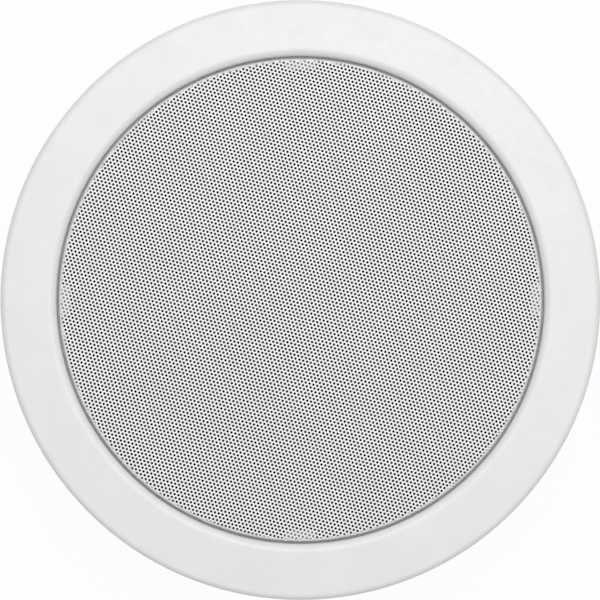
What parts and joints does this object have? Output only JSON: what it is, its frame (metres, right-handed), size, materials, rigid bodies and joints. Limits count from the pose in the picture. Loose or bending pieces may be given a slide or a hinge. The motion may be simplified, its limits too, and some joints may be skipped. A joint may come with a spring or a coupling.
{
  "type": "ceiling loudspeaker",
  "caption": "Round flush-mount loudspeaker with a perforated grille, coaxial woofer and tweeter, push terminals and swing-out panel clamps.",
  "frame": {"origin": "centre of the flange's back face, where it lies on the panel", "axes": "+Z out of the panel towards the listener, +X to the right and +Y up as seen from the front"},
  "size_m": [0.23, 0.23, 0.0785],
  "materials": {
    "white_abs": "satin white moulded ABS",
    "white_steel": "satin white powder coat on perforated steel",
    "black_cloth": "black non-woven cloth",
    "black_foam": "black closed-cell foam",
    "black_steel": "black powder coat",
    "black_rubber": "matt butyl rubber",
    "black_cone": "mineral-filled polypropylene with a fine grain",
    "kapton": "amber polyimide film",
    "copper_wire": "enamelled copper turns",
    "impregnated_cloth": "resin-stiffened cotton cloth",
    "zinc_steel": "zinc-plated steel",
    "ferrite": "pressed and ground ferrite",
    "fibre_strip": "brown phenolic fibre",
    "braided_copper": "braided tinsel lead",
    "black_plastic": "black moulded ABS",
    "silk_dome": "coated silk",
    "nickel": "nickel-plated neodymium",
    "circuit_board": "green solder mask",
    "capacitor_sleeve": "dark blue sleeve",
    "ceramic": "off-white cement body",
    "red_plastic": "red moulded plastic",
    "black_button": "black moulded plastic",
    "red_wire": "PVC insulation",
    "grey_wire": "PVC insulation",
    "black_screw": "blackened steel",
    "zinc_screw": "zinc-plated steel",
    "brass": "turned brass",
    "clamp_nylon": "natural glass-filled nylon"
  },
  "bodies": {
    "chassis": {"bezel": "white_abs", "baffle": "white_abs", "barrel": "white_abs", "grille": "white_steel", "grille_cloth": "black_cloth", "woofer_gasket": "black_foam", "woofer_basket": "black_steel", "surround": "black_rubber", "spider": "impregnated_cloth", "top_plate": "zinc_steel", "ferrite_magnet": "ferrite", "back_plate": "zinc_steel", "terminal_strip": "fibre_strip", "tinsel_leads": "braided_copper", "tweeter_bridge": "black_plastic", "tweeter_faceplate": "black_plastic", "tweeter_dome": "silk_dome", "tweeter_voice_coil": "copper_wire", "tweeter_pole_plate": "zinc_steel", "tweeter_magnet": "nickel", "tweeter_yoke": "zinc_steel", "crossover_board": "circuit_board", "inductor_bobbin": "black_plastic", "inductor_winding": "copper_wire", "capacitor": "capacitor_sleeve", "resistor": "ceramic", "terminal_housing": "black_plastic", "woofer_wires": "red_wire", "tweeter_wires": "grey_wire", "basket_screws": "black_screw", "bridge_screws": "black_screw", "board_screws": "zinc_screw"},
    "cone_assembly": {"cone": "black_cone", "dust_cap": "black_cone", "voice_coil_former": "kapton", "voice_coil_winding": "copper_wire"},
    "plus_button": {"terminal_button_plus": "red_plastic"},
    "minus_button": {"terminal_button_minus": "black_button"},
    "screw_1": {"clamp_screw_1": "zinc_screw", "clamp_clip_1": "zinc_screw"},
    "nut_1": {"clamp_nut_1": "brass"},
    "arm_1": {"clamp_arm_1": "clamp_nylon"},
    "screw_2": {"clamp_screw_2": "zinc_screw", "clamp_clip_2": "zinc_screw"},
    "nut_2": {"clamp_nut_2": "brass"},
    "arm_2": {"clamp_arm_2": "clamp_nylon"},
    "screw_3": {"clamp_screw_3": "zinc_screw", "clamp_clip_3": "zinc_screw"},
    "nut_3": {"clamp_nut_3": "brass"},
    "arm_3": {"clamp_arm_3": "clamp_nylon"},
    "screw_4": {"clamp_screw_4": "zinc_screw", "clamp_clip_4": "zinc_screw"},
    "nut_4": {"clamp_nut_4": "brass"},
    "arm_4": {"clamp_arm_4": "clamp_nylon"}
  },
  "joints": [
    {"name": "cone_travel", "type": "slide", "parent": "chassis", "child": "cone_assembly", "axis": [0, 0, 1], "range_m": [-0.003, 0.003], "stiffness_N_per_m": 1500, "deforming": ["surround", "spider", "tinsel_leads"]},
    {"name": "plus_button_press", "type": "slide", "parent": "chassis", "child": "plus_button", "axis": [0, 0, 1], "range_m": [0, 0.002], "stiffness_N_per_m": 600, "springref_m": -0.001},
    {"name": "minus_button_press", "type": "slide", "parent": "chassis", "child": "minus_button", "axis": [0, 0, 1], "range_m": [0, 0.002], "stiffness_N_per_m": 600, "springref_m": -0.001},
    {"name": "screw_1_turn", "type": "hinge", "parent": "chassis", "child": "screw_1", "pos_m": [0.0861, -0.009, 0], "axis": [0, 0, -1], "range_deg": [0, 3996]},
    {"name": "nut_1_climb", "type": "slide", "parent": "chassis", "child": "nut_1", "axis": [0, 0, 1], "range_m": [0, 0.0222]},
    {"name": "arm_1_swing", "type": "hinge", "parent": "nut_1", "child": "arm_1", "pos_m": [0.0861, -0.009, -0.035], "axis": [0, 0, -1], "range_deg": [0, 90]},
    {"name": "screw_2_turn", "type": "hinge", "parent": "chassis", "child": "screw_2", "pos_m": [0.009, 0.0861, 0], "axis": [0, 0, -1], "range_deg": [0, 3996]},
    {"name": "nut_2_climb", "type": "slide", "parent": "chassis", "child": "nut_2", "axis": [0, 0, 1], "range_m": [0, 0.0222]},
    {"name": "arm_2_swing", "type": "hinge", "parent": "nut_2", "child": "arm_2", "pos_m": [0.009, 0.0861, -0.035], "axis": [0, 0, -1], "range_deg": [0, 90]},
    {"name": "screw_3_turn", "type": "hinge", "parent": "chassis", "child": "screw_3", "pos_m": [-0.0861, 0.009, 0], "axis": [0, 0, -1], "range_deg": [0, 3996]},
    {"name": "nut_3_climb", "type": "slide", "parent": "chassis", "child": "nut_3", "axis": [0, 0, 1], "range_m": [0, 0.0222]},
    {"name": "arm_3_swing", "type": "hinge", "parent": "nut_3", "child": "arm_3", "pos_m": [-0.0861, 0.009, -0.035], "axis": [0, 0, -1], "range_deg": [0, 90]},
    {"name": "screw_4_turn", "type": "hinge", "parent": "chassis", "child": "screw_4", "pos_m": [-0.009, -0.0861, 0], "axis": [0, 0, -1], "range_deg": [0, 3996]},
    {"name": "nut_4_climb", "type": "slide", "parent": "chassis", "child": "nut_4", "axis": [0, 0, 1], "range_m": [0, 0.0222]},
    {"name": "arm_4_swing", "type": "hinge", "parent": "nut_4", "child": "arm_4", "pos_m": [-0.009, -0.0861, -0.035], "axis": [0, 0, -1], "range_deg": [0, 90]}
  ],
  "couplings": [
    {"joint": "screw_1_turn", "follows": "nut_1_climb", "rad_per_m": 3141.6},
    {"joint": "screw_2_turn", "follows": "nut_2_climb", "rad_per_m": 3141.6},
    {"joint": "screw_3_turn", "follows": "nut_3_climb", "rad_per_m": 3141.6},
    {"joint": "screw_4_turn", "follows": "nut_4_climb", "rad_per_m": 3141.6}
  ]
}
